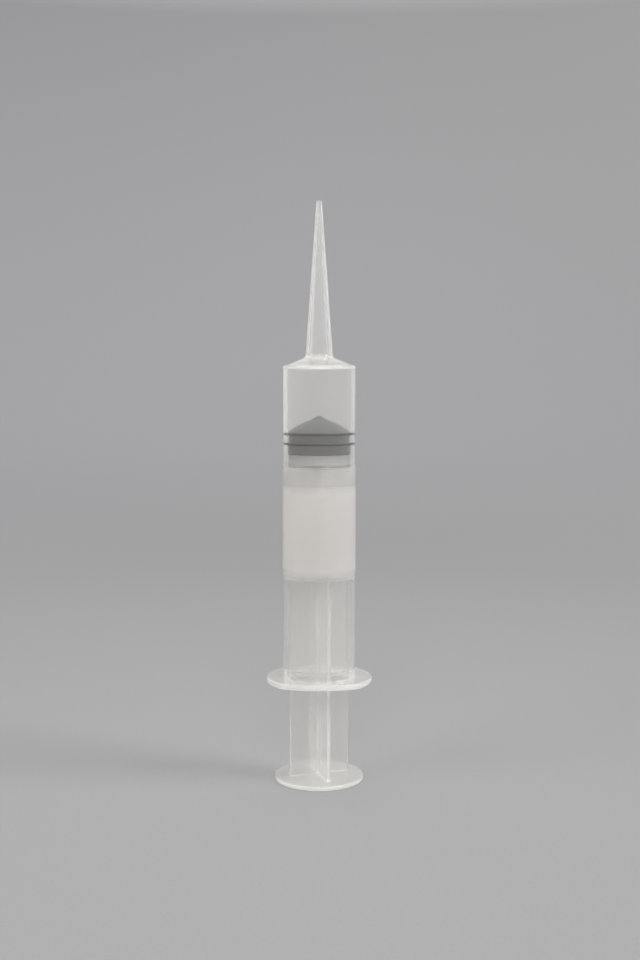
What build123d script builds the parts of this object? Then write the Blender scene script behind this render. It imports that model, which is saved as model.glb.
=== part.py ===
from build123d import *
import os
from math import radians, tan

# A three-piece hand syringe that stands upright on its thumb disc, with its nozzle up.
# The origin is the centre of the thumb disc's underside and +Z is the syringe's axis.
# The plunger is part way down its travel. All sizes are in millimetres.

# Barrel: tube, shoulder, nozzle and finger flange in one moulding
barrel_dia = 30.0
bore_dia = 26.6
mouth_chamfer = 0.6
flange_z = 41.5
flange_thick = 2.3
flange_end_radius = 22.1
flange_side_radius = 42.0
flange_half_depth = 18.6
flange_edge_round = 0.7
flange_root_round = 1.0
shoulder_z = 173.4
shoulder_slope = 21.6
shoulder_edge_round = 0.5
inner_corner_z = 172.0
inner_slope = 26.0

# The nozzle is a long straight taper with a short straight land at its outlet
nozzle_base_dia = 11.3
nozzle_foot_round = 1.5
nozzle_tip_dia = 2.3
nozzle_tip_z = 240.5
nozzle_tip_round = 0.2
throat_dia = 8.0
outlet_dia = 1.2
outlet_length = 4.0

# A low bead in the bore keeps the stopper from being pulled out by accident
bead_height = 0.25
bead_half_width = 0.9
bead_z = 47.0
bead_root = 0.1

# Plunger rod: thumb disc, four ribs, support disc and button head in one moulding
disc_dia = 37.3
disc_thick = 1.8
disc_edge_round = 0.45
rib_span = 25.5
rib_thick = 1.5
rib_turn = 18.0
rib_core_round = 0.9
rib_foot_round = 0.5
support_dia = 25.4
support_thick = 4.2
neck_dia = 11.8
neck_height = 3.0
head_dia = 17.0
head_rim_height = 1.8
head_top_dia = 8.0
head_top_height = 3.6

# Stopper: moulded rubber, snapped over the rod's head. Heights are from its own base
stopper_z = 137.0
stopper_height = 16.0
skirt_dia = 25.9
skirt_chamfer = 0.3
groove_dia = 25.2
seal_dia = 26.5
seal_width = 0.9
seal_land = 0.45
lower_seal_height = 4.4
upper_seal_height = 8.5
crown_edge_dia = 23.3
crown_edge_height = 10.1
crown_middle_dia = 14.0
crown_middle_height = 12.75
tip_foot_dia = 6.6
tip_foot_height = 14.25
tip_dia = 1.9
tip_height = 15.55
running_gap = 0.05

# Wrap label: a blank film stuck round the middle of the barrel
label_z = 85.0
label_height = 47.0
label_thick = 0.15
glue_gap = 0.03
label_seam = 1.2

# How near an edge's height or radius has to be to a stated one when edges are picked
near = 0.1

os.makedirs("parts", exist_ok=True)

barrel_radius = barrel_dia / 2
bore_radius = bore_dia / 2
flange_top_z = flange_z + flange_thick


def off_axis(edge):
    # How far the middle of an edge lies from the syringe's axis
    middle = edge.position_at(0.5)
    return Vector(middle.X, middle.Y, 0).length


def at_height(edges, height):
    # The edges that lie flat at one height
    return edges.filter_by_position(Axis.Z, height - near, height + near)


# ---- Barrel
nozzle_base_radius = nozzle_base_dia / 2
nozzle_base_z = shoulder_z + (barrel_radius - nozzle_base_radius) * tan(radians(shoulder_slope))
throat_radius = throat_dia / 2
throat_z = inner_corner_z + (bore_radius - throat_radius) * tan(radians(inner_slope))

with BuildPart() as barrel:
    # Half section, from the mouth up the outside to the outlet and back down the bore
    with BuildSketch(Plane.XZ) as wall_section:
        with BuildLine():
            Polyline(
                (bore_radius + mouth_chamfer, flange_z),
                (barrel_radius, flange_z),
                (barrel_radius, shoulder_z),
                (nozzle_base_radius, nozzle_base_z),
                (nozzle_tip_dia / 2, nozzle_tip_z),
                (outlet_dia / 2, nozzle_tip_z),
                (outlet_dia / 2, nozzle_tip_z - outlet_length),
                (throat_radius, throat_z),
                (bore_radius, inner_corner_z),
                (bore_radius, flange_z + mouth_chamfer),
                close=True,
            )
        make_face()
    revolve(axis=Axis.Z)

    # Finger flange: round ends, with the front and back drawn in to gentle arcs
    with BuildSketch(Plane.XY.offset(flange_z)) as flange_outline:
        Circle(flange_end_radius)
        with Locations((0, flange_side_radius - flange_half_depth)):
            Circle(flange_side_radius, mode=Mode.INTERSECT)
        with Locations((0, flange_half_depth - flange_side_radius)):
            Circle(flange_side_radius, mode=Mode.INTERSECT)
        Circle(barrel_radius - mouth_chamfer, mode=Mode.SUBTRACT)
    extrude(amount=flange_thick)

    # The flange's two rims and its root on the tube are rounded
    flange_rims = at_height(barrel.edges(), flange_z) + at_height(barrel.edges(), flange_top_z)
    fillet(flange_rims.filter_by(lambda e: off_axis(e) > barrel_radius + near), flange_edge_round)
    flange_root = at_height(barrel.edges(), flange_top_z)
    fillet(flange_root.filter_by(lambda e: abs(off_axis(e) - barrel_radius) < near), flange_root_round)

    # So are the shoulder's corner, the foot of the nozzle and its tip
    fillet(at_height(barrel.edges(), shoulder_z).sort_by(off_axis)[-1], shoulder_edge_round)
    fillet(at_height(barrel.edges(), nozzle_base_z).sort_by(off_axis)[-1], nozzle_foot_round)
    fillet(at_height(barrel.edges(), nozzle_tip_z).sort_by(off_axis)[-1], nozzle_tip_round)

    # Retaining bead: a low ring with a rounded top, rooted a little inside the wall
    bead_root_radius = bore_radius + bead_root
    with BuildSketch(Plane.XZ) as bead_section:
        with BuildLine():
            ThreePointArc(
                (bead_root_radius, bead_z - bead_half_width),
                (bore_radius - bead_height, bead_z),
                (bead_root_radius, bead_z + bead_half_width),
            )
            Line((bead_root_radius, bead_z + bead_half_width), (bead_root_radius, bead_z - bead_half_width))
        make_face()
    revolve(axis=Axis.Z)

barrel.part.label = "barrel"
export_step(barrel.part, "parts/barrel.step")


# ---- Plunger rod
support_z = stopper_z - running_gap - support_thick
neck_radius = neck_dia / 2
head_radius = head_dia / 2
head_z = stopper_z + neck_height + running_gap
head_top_z = head_z + head_top_height

with BuildPart() as plunger_rod:
    # Thumb disc, which is also the foot that the syringe stands on
    with BuildSketch(Plane.XY) as disc_outline:
        Circle(disc_dia / 2)
    extrude(amount=disc_thick)
    fillet(plunger_rod.edges(), disc_edge_round)

    # Four ribs in a cross, turned so that the front one points a little to the right
    with BuildSketch(Plane.XY.offset(disc_thick)) as rib_outline:
        Rectangle(rib_span, rib_thick, rotation=rib_turn)
        Rectangle(rib_thick, rib_span, rotation=rib_turn)
        inner_corners = rib_outline.vertices().sort_by(lambda v: Vector(v.X, v.Y, 0).length)[:4]
        fillet(inner_corners, rib_core_round)
    extrude(amount=support_z - disc_thick)

    # A small round where the ribs stand on the disc
    rib_feet = at_height(plunger_rod.edges(), disc_thick)
    fillet(rib_feet.filter_by(lambda e: off_axis(e) < rib_span / 2 - near), rib_foot_round)

    # Support disc, neck and button head, which hold the stopper
    with BuildSketch(Plane.XZ) as head_section:
        with BuildLine():
            Polyline(
                (0, support_z),
                (support_dia / 2, support_z),
                (support_dia / 2, support_z + support_thick),
                (neck_radius, support_z + support_thick),
                (neck_radius, head_z),
                (head_radius, head_z),
                (head_radius, head_z + head_rim_height),
                (head_top_dia / 2, head_top_z),
                (0, head_top_z),
                close=True,
            )
        make_face()
    revolve(axis=Axis.Z)

plunger_rod.part.label = "plunger_rod"
export_step(plunger_rod.part, "parts/plunger_rod.step")


# ---- Stopper
skirt_radius = skirt_dia / 2
groove_radius = groove_dia / 2
seal_radius = seal_dia / 2
lower_seal_z = stopper_z + lower_seal_height
upper_seal_z = stopper_z + upper_seal_height
crown_edge = (crown_edge_dia / 2, stopper_z + crown_edge_height)
crown_middle = (crown_middle_dia / 2, stopper_z + crown_middle_height)
tip_foot = (tip_foot_dia / 2, stopper_z + tip_foot_height)

with BuildPart() as stopper:
    # Half section: skirt, groove between two sealing ribs, crown, then the cavity for the head
    with BuildSketch(Plane.XZ) as stopper_section:
        with BuildLine():
            Polyline(
                (neck_radius + running_gap, stopper_z),
                (skirt_radius - skirt_chamfer, stopper_z),
                (skirt_radius, stopper_z + skirt_chamfer),
                (skirt_radius, lower_seal_z - seal_width / 2),
                (seal_radius, lower_seal_z - seal_land / 2),
                (seal_radius, lower_seal_z + seal_land / 2),
                (groove_radius, lower_seal_z + seal_width / 2),
                (groove_radius, upper_seal_z - seal_width / 2),
                (seal_radius, upper_seal_z - seal_land / 2),
                (seal_radius, upper_seal_z + seal_land / 2),
                (skirt_radius, upper_seal_z + seal_width / 2),
                crown_edge,
            )
            # The crown rises in a shallow convex cone to a small pointed tip
            ThreePointArc(crown_edge, crown_middle, tip_foot)
            Polyline(
                tip_foot,
                (tip_dia / 2, stopper_z + tip_height),
                (0, stopper_z + stopper_height),
                (0, head_top_z + running_gap),
                (head_top_dia / 2, head_top_z + running_gap),
                (head_radius + running_gap, head_z + head_rim_height + running_gap),
                (head_radius + running_gap, head_z - running_gap),
                (neck_radius + running_gap, head_z - running_gap),
                (neck_radius + running_gap, stopper_z),
            )
        make_face()
    revolve(axis=Axis.Z)

stopper.part.label = "stopper"
export_step(stopper.part, "parts/stopper.step")


# ---- Wrap label
label_inner_radius = barrel_radius + glue_gap
label_outer_radius = label_inner_radius + label_thick

with BuildPart() as wrap_label:
    with BuildSketch(Plane.XY.offset(label_z)) as label_outline:
        Circle(label_outer_radius)
        Circle(label_inner_radius, mode=Mode.SUBTRACT)
        # The film's two ends stop short of each other at the back
        with Locations((0, label_outer_radius)):
            Rectangle(label_seam, label_outer_radius, mode=Mode.SUBTRACT)
    extrude(amount=label_height)

wrap_label.part.label = "wrap_label"
export_step(wrap_label.part, "parts/wrap_label.step")
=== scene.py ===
import math
import bpy
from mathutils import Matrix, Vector


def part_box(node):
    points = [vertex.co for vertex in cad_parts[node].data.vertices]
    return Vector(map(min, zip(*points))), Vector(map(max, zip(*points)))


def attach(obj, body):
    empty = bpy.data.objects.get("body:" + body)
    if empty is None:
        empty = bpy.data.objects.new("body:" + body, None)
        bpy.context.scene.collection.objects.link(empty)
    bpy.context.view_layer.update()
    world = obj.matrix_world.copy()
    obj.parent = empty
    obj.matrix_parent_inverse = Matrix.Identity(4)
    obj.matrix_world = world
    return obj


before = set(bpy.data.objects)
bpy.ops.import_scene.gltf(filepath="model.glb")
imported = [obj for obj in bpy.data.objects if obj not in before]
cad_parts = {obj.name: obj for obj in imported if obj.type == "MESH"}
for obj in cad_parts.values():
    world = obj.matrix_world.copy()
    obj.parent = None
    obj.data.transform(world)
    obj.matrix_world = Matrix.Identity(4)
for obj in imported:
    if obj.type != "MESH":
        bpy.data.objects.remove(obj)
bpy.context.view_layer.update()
mm = 0.001  # every length below is in metres
print("syringe: frame loaded")


def linear(hexColour):
    # sRGB hex to the linear red, green, blue and alpha that shaders use
    channels = [int(hexColour[i:i + 2], 16) / 255 for i in (1, 3, 5)]
    return [c / 12.92 if c <= 0.04045 else ((c + 0.055) / 1.055) ** 2.4 for c in channels] + [1.0]


def addNode(tree, kind, links=(), **settings):
    # A setting names a property, an input with _ for each space, or an input's number after "in".
    # A link is (the output that feeds it, the input's name or number)
    node = tree.nodes.new(kind)
    for name, value in settings.items():
        if hasattr(node, name):
            setattr(node, name, value)
        else:
            key = int(name[2:]) if name[:2] == "in" and name[2:].isdigit() else name.replace("_", " ")
            node.inputs[key].default_value = value
    for source, target in links:
        tree.links.new(source, node.inputs[target])
    return node


def newMaterial(name):
    material = bpy.data.materials.new(name)
    material.use_nodes = True
    material.node_tree.nodes.clear()
    return material, material.node_tree


def give(piece, material):
    piece.data.materials.clear()
    piece.data.materials.append(material)


def lathe(name, outline, around, closed=False):
    # Turns an outline of (radius, height) points about Z. A closed outline gives a ring
    points = []
    faces = []
    for radius, height in outline:
        for i in range(around):
            turn = 2 * math.pi * i / around
            points.append((radius * math.cos(turn), radius * math.sin(turn), height))
    for ring in range(len(outline) if closed else len(outline) - 1):
        start = ring * around
        after = (ring + 1) % len(outline) * around
        for i in range(around):
            j = (i + 1) % around
            faces.append((start + i, start + j, after + j, after + i))
    mesh = bpy.data.meshes.new(name)
    mesh.from_pydata(points, [], faces)
    mesh.shade_smooth()
    piece = bpy.data.objects.new(name, mesh)
    bpy.context.scene.collection.objects.link(piece)
    return piece


# Natural polypropylene, injection moulded: clear in thin walls, milky in thick ones and at its edges,
# a soft gloss, and a faint unevenness where the melt flowed
plastic = {
    "tint": "#fefefd",
    "clear": 0.98,
    "ior": 1.49,
    "cloudSize": 9.0 * mm,
    "cloudRange": (0.8, 1.2),  # how far the flow marks take the roughness down and up
    "grainSize": 0.35 * mm,  # the mould's own grain is too fine to show, so it is drawn coarser
    "grainDepth": 0.004 * mm,
    "grainStrength": 0.5,
    "forward": 0.2,
}
# Milk is how much light scatters in a metre of plastic. Head and foot give the two heights between which
# the middle's milk turns into that end's
barrel = {
    "roughness": 0.1,
    "lampTint": "#fbfbfb",
    "milk": "#fffffe",
    "middleMilk": 90.0,
    "headMilk": 205.0,
    "footMilk": 220.0,
    "head": (172.0 * mm, 215.0 * mm),
    "foot": (43.8 * mm, 46.0 * mm),
}
rod = {
    "roughness": 0.18,
    "lampTint": "#eeeeee",
    "milk": "#fff9f6",
    "middleMilk": 140.0,
    "headMilk": 420.0,
    "footMilk": 290.0,
    "head": (122.0 * mm, 134.0 * mm),
    "foot": (1.8 * mm, 3.5 * mm),
}


def mouldedPolypropylene(name, moulding):
    material, tree = newMaterial(name)
    place = addNode(tree, "ShaderNodeTexCoord")
    cloud = addNode(tree, "ShaderNodeTexNoise", [(place.outputs["Object"], "Vector")],
                    Scale=1 / plastic["cloudSize"], Detail=3.0)
    smoothest, roughest = [moulding["roughness"] * share for share in plastic["cloudRange"]]
    rough = addNode(tree, "ShaderNodeMapRange", [(cloud.outputs["Fac"], "Value")],
                    in3=smoothest, in4=roughest)
    grain = addNode(tree, "ShaderNodeTexNoise", [(place.outputs["Object"], "Vector")],
                    Scale=1 / plastic["grainSize"], Detail=2.0)
    relief = addNode(tree, "ShaderNodeBump", [(grain.outputs["Fac"], "Height")],
                     Strength=plastic["grainStrength"], Distance=plastic["grainDepth"])
    body = addNode(tree, "ShaderNodeBsdfPrincipled",
                   [(rough.outputs["Result"], "Roughness"), (relief.outputs["Normal"], "Normal")],
                   Base_Color=linear(plastic["tint"]), IOR=plastic["ior"],
                   Transmission_Weight=plastic["clear"])
    # Lamps shine straight through, dimmed a little at each surface
    lampSide = addNode(tree, "ShaderNodeBsdfTransparent", Color=linear(moulding["lampTint"]))
    path = addNode(tree, "ShaderNodeLightPath")
    mixed = addNode(tree, "ShaderNodeMixShader", [(path.outputs["Is Shadow Ray"], 0),
                                                  (body.outputs["BSDF"], 1),
                                                  (lampSide.outputs["BSDF"], 2)])
    # Thick ends cool slowly and turn milkier, so the milk thickens towards the head and the foot
    split = addNode(tree, "ShaderNodeSeparateXYZ", [(place.outputs["Object"], 0)])
    upper = addNode(tree, "ShaderNodeMapRange", [(split.outputs["Z"], "Value")],
                    in1=moulding["head"][0], in2=moulding["head"][1],
                    in3=moulding["middleMilk"], in4=moulding["headMilk"])
    lower = addNode(tree, "ShaderNodeMapRange", [(split.outputs["Z"], "Value")],
                    in1=moulding["foot"][0], in2=moulding["foot"][1],
                    in3=moulding["footMilk"], in4=0.0)
    density = addNode(tree, "ShaderNodeMath", [(upper.outputs["Result"], 0), (lower.outputs["Result"], 1)],
                      operation="MAXIMUM")
    milk = addNode(tree, "ShaderNodeVolumeScatter", [(density.outputs["Value"], "Density")],
                   Color=linear(moulding["milk"]), Anisotropy=plastic["forward"])
    addNode(tree, "ShaderNodeOutputMaterial", [(mixed.outputs["Shader"], "Surface"),
                                               (milk.outputs["Volume"], "Volume")])
    return material


give(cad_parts["barrel"], mouldedPolypropylene("mouldedPolypropyleneBarrel", barrel))
give(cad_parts["plunger_rod"], mouldedPolypropylene("mouldedPolypropyleneRod", rod))
print("syringe: plastic done")

# Grey bromobutyl rubber, compression moulded: matt and faintly mottled, with painted shade darkening its sides
# below a paler crown
rubber = {
    "colour": "#4e5053",
    "mottled": "#434548",
    "paintedSideShade": 0.62,  # the share of its colour that the painted shade leaves on the sides
    "paintedShadeBelow": 146.2 * mm,
    "paintedShadeFade": 0.4 * mm,
    # the lips' darker colour is painted shade along the lines where they touch the wall
    "contactShade": "#2c2d2f",
    "roughness": 0.5,
    "mottleSize": 1.6 * mm,
    "grainSize": 0.25 * mm,  # drawn coarser than the real grain, which is too fine to show
    "grainDepth": 0.012 * mm,
    "grainStrength": 0.6,
    "lipHeights": (4.4 * mm, 8.5 * mm),
    "lipInner": 12.95 * mm,
    "lipOuter": 13.36 * mm,
    "lipWidth": 1.0 * mm,
    "lipRound": 0.12 * mm,
    "lipSides": 128,
}


def mouldedRubber(name, light, dark):
    material, tree = newMaterial(name)
    place = addNode(tree, "ShaderNodeTexCoord")
    mottle = addNode(tree, "ShaderNodeTexNoise", [(place.outputs["Object"], "Vector")],
                     Scale=1 / rubber["mottleSize"], Detail=4.0)
    colour = addNode(tree, "ShaderNodeMix", [(mottle.outputs["Fac"], "Factor")], data_type="RGBA",
                     in6=linear(light), in7=linear(dark))
    split = addNode(tree, "ShaderNodeSeparateXYZ", [(place.outputs["Object"], 0)])
    # Painted shade: below the crown the sides keep only part of the rubber's colour
    sideShadeFactor = addNode(tree, "ShaderNodeMapRange", [(split.outputs["Z"], "Value")],
                  in1=rubber["paintedShadeBelow"], in2=rubber["paintedShadeBelow"] + rubber["paintedShadeFade"],
                  in3=rubber["paintedSideShade"], in4=1.0)
    shaded = addNode(tree, "ShaderNodeVectorMath", [(colour.outputs[2], 0), (sideShadeFactor.outputs["Result"], "Scale")],
                     operation="SCALE")
    grain = addNode(tree, "ShaderNodeTexNoise", [(place.outputs["Object"], "Vector")],
                    Scale=1 / rubber["grainSize"], Detail=2.0)
    relief = addNode(tree, "ShaderNodeBump", [(grain.outputs["Fac"], "Height")],
                     Strength=rubber["grainStrength"], Distance=rubber["grainDepth"])
    body = addNode(tree, "ShaderNodeBsdfPrincipled",
                   [(shaded.outputs["Vector"], "Base Color"), (relief.outputs["Normal"], "Normal")],
                   Roughness=rubber["roughness"])
    addNode(tree, "ShaderNodeOutputMaterial", [(body.outputs["BSDF"], "Surface")])
    return material


def pressedLips():
    # Where each sealing lip is squeezed flat, rubber and wall touch with no air between them
    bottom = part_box("stopper")[0][2]
    # The lips get a darker rubber colour, painted shade along the lines where they touch the wall
    contactShadeRubber = mouldedRubber("greyRubberPaintedContactShade", rubber["contactShade"], rubber["contactShade"])
    half = rubber["lipWidth"] / 2
    inner = rubber["lipInner"]
    outer = rubber["lipOuter"]
    soft = rubber["lipRound"]
    for name, rise in zip(("lower_lip", "upper_lip"), rubber["lipHeights"]):
        z = bottom + rise
        outline = [(inner, z - half), (outer - soft, z - half), (outer, z - half + soft),
                   (outer, z + half - soft), (outer - soft, z + half), (inner, z + half)]
        lip = lathe(name, outline, rubber["lipSides"], closed=True)
        give(lip, contactShadeRubber)
        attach(lip, "stopper")


give(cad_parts["stopper"], mouldedRubber("mouldedGreyRubber", rubber["colour"], rubber["mottled"]))
pressedLips()
print("syringe: rubber done")

# Polypropylene film, printed and wrapped: its thin white ground is a soft veil over what is behind, the ink
# stops short of its top edge and fades at its foot, and the film ripples a little
film = {
    "colour": "#fdf2ef",
    "milky": 0.36,
    "clearStrip": 0.15,
    "thinEnd": 0.1,
    "stripBottom": 123.0 * mm,
    "stripFade": 1.6 * mm,
    "endFade": 5.0 * mm,
    "roughness": 0.4,
    "rippleSize": 6.0 * mm,
    "rippleDepth": 0.05 * mm,
    "rippleStrength": 0.5,
    "lightSpread": 0.3 * mm,
}


def printedFilm():
    material, tree = newMaterial("printedPolypropyleneFilm")
    place = addNode(tree, "ShaderNodeTexCoord")
    split = addNode(tree, "ShaderNodeSeparateXYZ", [(place.outputs["Object"], 0)])
    height = addNode(tree, "ShaderNodeMapRange", [(split.outputs["Z"], "Value")],
                     in1=film["stripBottom"] - film["stripFade"], in2=film["stripBottom"] + film["stripFade"],
                     in3=film["milky"], in4=film["clearStrip"])
    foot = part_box("wrap_label")[0][2]
    ending = addNode(tree, "ShaderNodeMapRange", [(split.outputs["Z"], "Value")],
                     in1=foot, in2=foot + film["endFade"], in3=film["thinEnd"], in4=1.0)
    cover = addNode(tree, "ShaderNodeMath", [(height.outputs["Result"], 0), (ending.outputs["Result"], 1)],
                    operation="MULTIPLY")
    ripple = addNode(tree, "ShaderNodeTexNoise", [(place.outputs["Object"], "Vector")],
                     Scale=1 / film["rippleSize"], Detail=3.0)
    relief = addNode(tree, "ShaderNodeBump", [(ripple.outputs["Fac"], "Height")],
                     Strength=film["rippleStrength"], Distance=film["rippleDepth"])
    white = addNode(tree, "ShaderNodeBsdfPrincipled", [(relief.outputs["Normal"], "Normal")],
                    Base_Color=linear(film["colour"]), Roughness=film["roughness"],
                    Subsurface_Weight=1.0, Subsurface_Radius=(1.0, 1.0, 1.0),
                    Subsurface_Scale=film["lightSpread"])
    clear = addNode(tree, "ShaderNodeBsdfTransparent")
    mixed = addNode(tree, "ShaderNodeMixShader", [(cover.outputs["Value"], 0),
                                                  (clear.outputs["BSDF"], 1), (white.outputs["BSDF"], 2)])
    addNode(tree, "ShaderNodeOutputMaterial", [(mixed.outputs["Shader"], "Surface")])
    return material


give(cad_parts["wrap_label"], printedFilm())
print("syringe: label done")

# Matt grey paper, rolled: dull, with a faint mottle from its fibres. It makes a bowl all round the syringe.
# Its
# tone carries painted light and shade: painted shade darkens it away from the syringe, painted light lifts it
# up the wall
studio = {
    "floorPaper": "#999a9c",
    "paintedShadePaper": "#8f9093",
    "paintedLightPaper": "#96979b",
    "shadeFrom": 0.05,
    "shadeTo": 0.6,
    "lightFrom": 0.8,
    "lightTo": 2.0,
    "roughness": 0.9,
    "drop": 0.1 * mm,  # the paper lies this far under the thumb disc
    "floorRadii": (0.001, 0.2, 0.6, 1.8),
    "bendRadius": 1.4,
    "bendSteps": 12,
    "wallHeight": 1.35,
    "sides": 96,
    "fibreSize": 1.2 * mm,  # drawn coarser than real fibres, which are too fine to show
    "fibreShade": 0.05,
    "worldColour": "#fffefc",
    "worldStrength": 0.875,
}


def paperBowl():
    outline = [(radius, -studio["drop"]) for radius in studio["floorRadii"]]
    edge = studio["floorRadii"][-1]
    for step in range(1, studio["bendSteps"] + 1):
        turn = math.radians(90 * step / studio["bendSteps"])
        outline.append((edge + studio["bendRadius"] * math.sin(turn),
                        studio["bendRadius"] * (1 - math.cos(turn)) - studio["drop"]))
    outline.append((edge + studio["bendRadius"], studio["wallHeight"]))
    bowl = lathe("paperBowl", outline, studio["sides"])
    material, tree = newMaterial("mattePaper")
    place = addNode(tree, "ShaderNodeTexCoord")
    away = addNode(tree, "ShaderNodeVectorMath", [(place.outputs["Object"], 0)], operation="LENGTH")
    # Painted shade darkens the paper away from the syringe, and painted light lifts it again up the wall
    far = addNode(tree, "ShaderNodeMapRange", [(away.outputs["Value"], "Value")],
                  in1=studio["shadeFrom"], in2=studio["shadeTo"])
    rise = addNode(tree, "ShaderNodeMapRange", [(away.outputs["Value"], "Value")],
                   in1=studio["lightFrom"], in2=studio["lightTo"])
    shadedFloorTone = addNode(tree, "ShaderNodeMix", [(far.outputs["Result"], "Factor")], data_type="RGBA",
                  in6=linear(studio["floorPaper"]), in7=linear(studio["paintedShadePaper"]))
    paintedPaperTone = addNode(tree, "ShaderNodeMix", [(rise.outputs["Result"], "Factor"), (shadedFloorTone.outputs[2], 6)],
                   data_type="RGBA", in7=linear(studio["paintedLightPaper"]))
    fibre = addNode(tree, "ShaderNodeTexNoise", [(place.outputs["Object"], "Vector")],
                    Scale=1 / studio["fibreSize"], Detail=3.0)
    shade = addNode(tree, "ShaderNodeMapRange", [(fibre.outputs["Fac"], "Value")],
                    in3=1 - studio["fibreShade"], in4=1 + studio["fibreShade"])
    mottled = addNode(tree, "ShaderNodeVectorMath", [(paintedPaperTone.outputs[2], 0), (shade.outputs["Result"], "Scale")],
                      operation="SCALE")
    body = addNode(tree, "ShaderNodeBsdfPrincipled", [(mottled.outputs["Vector"], "Base Color")],
                   Roughness=studio["roughness"])
    addNode(tree, "ShaderNodeOutputMaterial", [(body.outputs["BSDF"], "Surface")])
    give(bowl, material)


paperBowl()

world = bpy.data.worlds.new("softSky")
world.use_nodes = True
sky = world.node_tree.nodes["Background"]
sky.inputs["Color"].default_value = linear(studio["worldColour"])
sky.inputs["Strength"].default_value = studio["worldStrength"]
bpy.context.scene.world = world

# Soft window and panel light, aimed at a point on the axis. Azimuth is measured from the front, positive to
# the right, and all angles are in degrees
aimHeight = 0.12
suns = {
    "windowRight": {"azimuth": 76, "elevation": 36, "strength": 1.4, "angle": 26, "colour": "#fffdfa"},
    "windowLeft": {"azimuth": -62, "elevation": 17, "strength": 2.3, "angle": 45, "colour": "#fff8ee"},
}
panels = {
    "frontFill": {"azimuth": 0, "distance": 0.95, "height": 0.72, "size": 0.5, "power": 3.4, "spread": 180,
                  "colour": "#fffefc"},
    "panelLeft": {"azimuth": -145, "distance": 1.0, "height": 0.35, "size": 0.6, "power": 0.07, "spread": 60,
                  "colour": "#fffaf4"},
    "panelRight": {"azimuth": 145, "distance": 1.0, "height": 0.35, "size": 0.6, "power": 0.045, "spread": 60,
                   "colour": "#fafcff"},
}


def addLamp(name, kind, place, lamp):
    light = bpy.data.lights.new(name, kind)
    light.color = linear(lamp["colour"])[:3]
    holder = bpy.data.objects.new(name, light)
    holder.location = place
    aim = Vector((0, 0, aimHeight)) - Vector(place)
    holder.rotation_euler = aim.to_track_quat("-Z", "Y").to_euler()
    bpy.context.scene.collection.objects.link(holder)
    return light, holder


for name, lamp in suns.items():
    azimuth = math.radians(lamp["azimuth"])
    level = math.cos(math.radians(lamp["elevation"]))
    place = (level * math.sin(azimuth), -level * math.cos(azimuth),
             aimHeight + math.sin(math.radians(lamp["elevation"])))
    light, holder = addLamp(name, "SUN", place, lamp)
    light.energy = lamp["strength"]
    light.angle = math.radians(lamp["angle"])
for name, lamp in panels.items():
    azimuth = math.radians(lamp["azimuth"])
    place = (lamp["distance"] * math.sin(azimuth), -lamp["distance"] * math.cos(azimuth), lamp["height"])
    light, holder = addLamp(name, "AREA", place, lamp)
    light.shape = "SQUARE"
    light.size = lamp["size"]
    light.energy = lamp["power"]
    light.spread = math.radians(lamp["spread"])
    holder.visible_camera = False

# The camera looks from the front and a little down. Lens and sensor are in millimetres
view = {
    "side": 0.00035,
    "distance": 0.518,
    "height": 0.1672,
    "tiltDown": 4.53,
    "lens": 46.9,
    "sensor": 36,
}
camera = bpy.data.cameras.new("camera")
camera.lens = view["lens"]
camera.sensor_width = view["sensor"]
holder = bpy.data.objects.new("camera", camera)
holder.location = (view["side"], -view["distance"], view["height"])
holder.rotation_euler = (math.radians(90 - view["tiltDown"]), 0, 0)
bpy.context.scene.collection.objects.link(holder)
bpy.context.scene.camera = holder
bpy.context.scene.view_settings.view_transform = "Standard"

# Light passes many walls of the tube, and is scattered many times in the milk, before it gets out
bounces = {
    "max_bounces": 48,
    "diffuse_bounces": 12,
    "glossy_bounces": 32,
    "transmission_bounces": 32,
    "volume_bounces": 16,
    "transparent_max_bounces": 32,
}
for name, count in bounces.items():
    setattr(bpy.context.scene.cycles, name, count)
print("syringe: studio and camera done")
